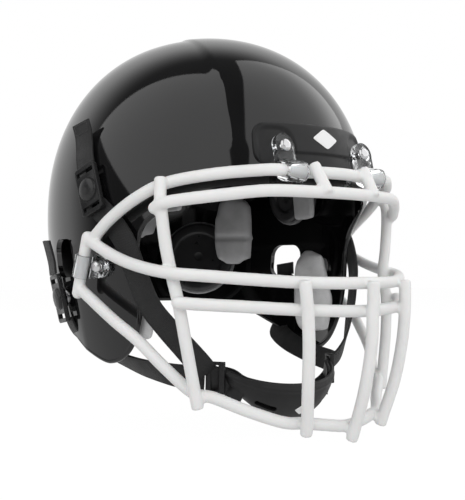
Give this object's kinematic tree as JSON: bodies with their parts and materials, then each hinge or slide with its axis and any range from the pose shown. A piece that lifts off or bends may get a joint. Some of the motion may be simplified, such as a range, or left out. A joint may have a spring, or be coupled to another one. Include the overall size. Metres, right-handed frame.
{
  "type": "american football helmet",
  "caption": "Glossy black football helmet shell with a white wire face mask on clips, air-cell liner with pads, and a strapped chin cup on press studs.",
  "frame": {"origin": "centre of the whole helmet's box, on the level of the face mask's lowest point", "axes": "+Z towards the crown, the face looks towards -Y, the wearer's left is +X; X = 0 is the plane of symmetry"},
  "size_m": [0.2594, 0.3184, 0.2952],
  "materials": {
    "shell_gloss": "high gloss",
    "bumper_satin": "satin",
    "bonnet_black": "gloss",
    "absorber_black": "matt",
    "jaw_pad_grey": "satin vinyl",
    "pad_grey": "soft cloth",
    "chin_pad_grey": "brushed cloth",
    "clear_clip": "clear polycarbonate",
    "steel": "polished",
    "webbing": "woven nylon",
    "buckle_black": "satin",
    "cup_black": "matt",
    "bar_white": "vinyl coated"
  },
  "bodies": {
    "helmet": {"shell": "shell_gloss", "front_bumper": "bumper_satin", "nape_bumper": "bumper_satin", "bonnet": "bonnet_black", "crown_absorbers": "absorber_black", "side_absorbers": "absorber_black", "rear_absorbers": "absorber_black", "front_absorbers": "absorber_black", "front_pad": "pad_grey", "crown_pad": "pad_grey", "rear_pad": "pad_grey", "side_pad_right": "pad_grey", "side_pad_left": "pad_grey", "temple_pad_right": "pad_grey", "temple_pad_left": "pad_grey", "jaw_pad_right": "jaw_pad_grey", "jaw_pad_left": "jaw_pad_grey", "brow_clip_right": "clear_clip", "brow_clip_left": "clear_clip", "brow_screws": "steel", "brow_t_nuts": "steel", "side_t_nuts": "steel", "snap_studs": "steel", "upper_strap_right": "webbing", "upper_strap_left": "webbing", "lower_strap_right": "webbing", "lower_strap_left": "webbing"},
    "facemask": {"brow_bar": "bar_white", "brow_journals": "bar_white", "eye_bar": "bar_white", "upper_mouth_bar": "bar_white", "lower_mouth_bar": "bar_white", "chin_bar": "bar_white", "outer_uprights": "bar_white", "centre_uprights": "bar_white", "brow_struts": "bar_white", "side_posts": "bar_white", "side_clip_right": "clear_clip", "side_clip_left": "clear_clip", "side_screws": "steel"},
    "chin_cup": {"chin_cup": "cup_black", "chin_pad": "chin_pad_grey", "cup_loops": "cup_black"},
    "upper_buckle_right": {"upper_buckle_right": "buckle_black", "upper_snap_right": "buckle_black", "upper_tail_right": "webbing"},
    "upper_buckle_left": {"upper_buckle_left": "buckle_black", "upper_snap_left": "buckle_black", "upper_tail_left": "webbing"},
    "lower_buckle_right": {"lower_buckle_right": "buckle_black", "lower_snap_right": "buckle_black", "lower_tail_right": "webbing"},
    "lower_buckle_left": {"lower_buckle_left": "buckle_black", "lower_snap_left": "buckle_black", "lower_tail_left": "webbing"}
  },
  "joints": [
    {"name": "facemask_swing", "type": "hinge", "parent": "helmet", "child": "facemask", "pos_m": [0, -0.11881, 0.18022], "axis": [-1, 0, 0], "range_deg": [0, 45]},
    {"name": "chin_cup_swing", "type": "hinge", "parent": "helmet", "child": "chin_cup", "pos_m": [0, -0.05981, 0.04622], "axis": [-1, 0, 0], "range_deg": [-8, 8]},
    {"name": "upper_snap_right_pull", "type": "slide", "parent": "helmet", "child": "upper_buckle_right", "axis": [-0.9883, -0.141, 0.0583], "range_m": [0, 0.007]},
    {"name": "upper_snap_left_pull", "type": "slide", "parent": "helmet", "child": "upper_buckle_left", "axis": [0.9883, -0.141, 0.0583], "range_m": [0, 0.007]},
    {"name": "lower_snap_right_pull", "type": "slide", "parent": "helmet", "child": "lower_buckle_right", "axis": [-0.9514, 0.2416, -0.1909], "range_m": [0, 0.007]},
    {"name": "lower_snap_left_pull", "type": "slide", "parent": "helmet", "child": "lower_buckle_left", "axis": [0.9514, 0.2416, -0.1909], "range_m": [0, 0.007]}
  ]
}
